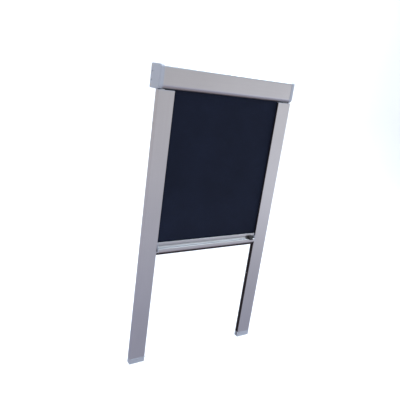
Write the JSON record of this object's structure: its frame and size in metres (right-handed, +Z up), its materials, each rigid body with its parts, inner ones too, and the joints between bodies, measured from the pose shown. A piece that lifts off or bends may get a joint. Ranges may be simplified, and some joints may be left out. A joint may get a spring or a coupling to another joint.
{
  "type": "roller blind",
  "caption": "Cassette roller blind with side channels for a roof window: blackout fabric on a spring roller, hand-moved bottom bar with a finger groove.",
  "frame": {"origin": "centre of the cassette's flat back face", "axes": "+X to the right seen from the room, +Y away from the room, +Z up along the side channels"},
  "size_m": [0.424, 0.0505, 0.804],
  "materials": {
    "anodised_aluminium": "fine satin silver anodising with faint lengthwise drawing lines",
    "moulded_silver": "silver-grey moulded plastic, fine matt texture",
    "pile_black": "dense black pile weatherstrip",
    "blackout_fabric": "smooth matt dark navy coated blackout weave",
    "moulded_black": "black moulded plastic",
    "nylon_white": "natural white nylon",
    "seal_rubber": "soft black sealing strip",
    "mill_aluminium": "plain mill finish",
    "bright_steel": "bright zinc plate",
    "spring_steel": "dark oiled spring wire"
  },
  "bodies": {
    "cassette": {"headbox_back": "anodised_aluminium", "headbox_cover": "anodised_aluminium", "end_cap_left": "moulded_silver", "end_cap_right": "moulded_silver", "end_cap_screws": "bright_steel", "exit_brush_front": "pile_black", "exit_brush_rear": "pile_black", "idle_bush": "nylon_white", "spring_arbor": "bright_steel", "channel_base_left": "anodised_aluminium", "channel_base_right": "anodised_aluminium", "channel_cover_left": "anodised_aluminium", "channel_cover_right": "anodised_aluminium", "pile_front_left": "pile_black", "pile_front_right": "pile_black", "pile_rear_left": "pile_black", "pile_rear_right": "pile_black", "channel_cap_left": "moulded_silver", "channel_cap_right": "moulded_silver", "channel_top_left": "moulded_silver", "channel_top_right": "moulded_silver", "channel_link_left": "bright_steel", "channel_link_right": "bright_steel", "fabric": "blackout_fabric"},
    "roller": {"roller_tube": "mill_aluminium", "fabric_spline": "nylon_white", "fabric_roll": "blackout_fabric", "idle_plug": "moulded_black", "idle_pin": "bright_steel", "idle_pin_spring": "spring_steel", "spring_plug": "moulded_black", "spring_anchor": "moulded_black", "torsion_spring": "spring_steel"},
    "bar": {"bottom_bar": "anodised_aluminium", "bar_seal": "seal_rubber", "hem_rod": "nylon_white", "bar_end_screws": "bright_steel", "grip_stop": "moulded_black", "bar_end_left": "moulded_silver", "bar_end_right": "moulded_silver", "guide_shoe_left": "moulded_black", "guide_shoe_right": "moulded_black", "brake_pad_left": "pile_black", "brake_pad_right": "pile_black", "brake_spring_left": "spring_steel", "brake_spring_right": "spring_steel"}
  },
  "joints": [
    {"name": "bar_slide", "type": "slide", "parent": "cassette", "child": "bar", "axis": [0, 0, 1], "range_m": [-0.32, 0.385], "deforming": ["fabric"]},
    {"name": "roller_spin", "type": "hinge", "parent": "cassette", "child": "roller", "pos_m": [0, -0.02375, 0], "axis": [1, 0, 0], "range_deg": [-1665, 1395]}
  ],
  "couplings": [
    {"joint": "roller_spin", "follows": "bar_slide", "rad_per_m": -75.206}
  ]
}
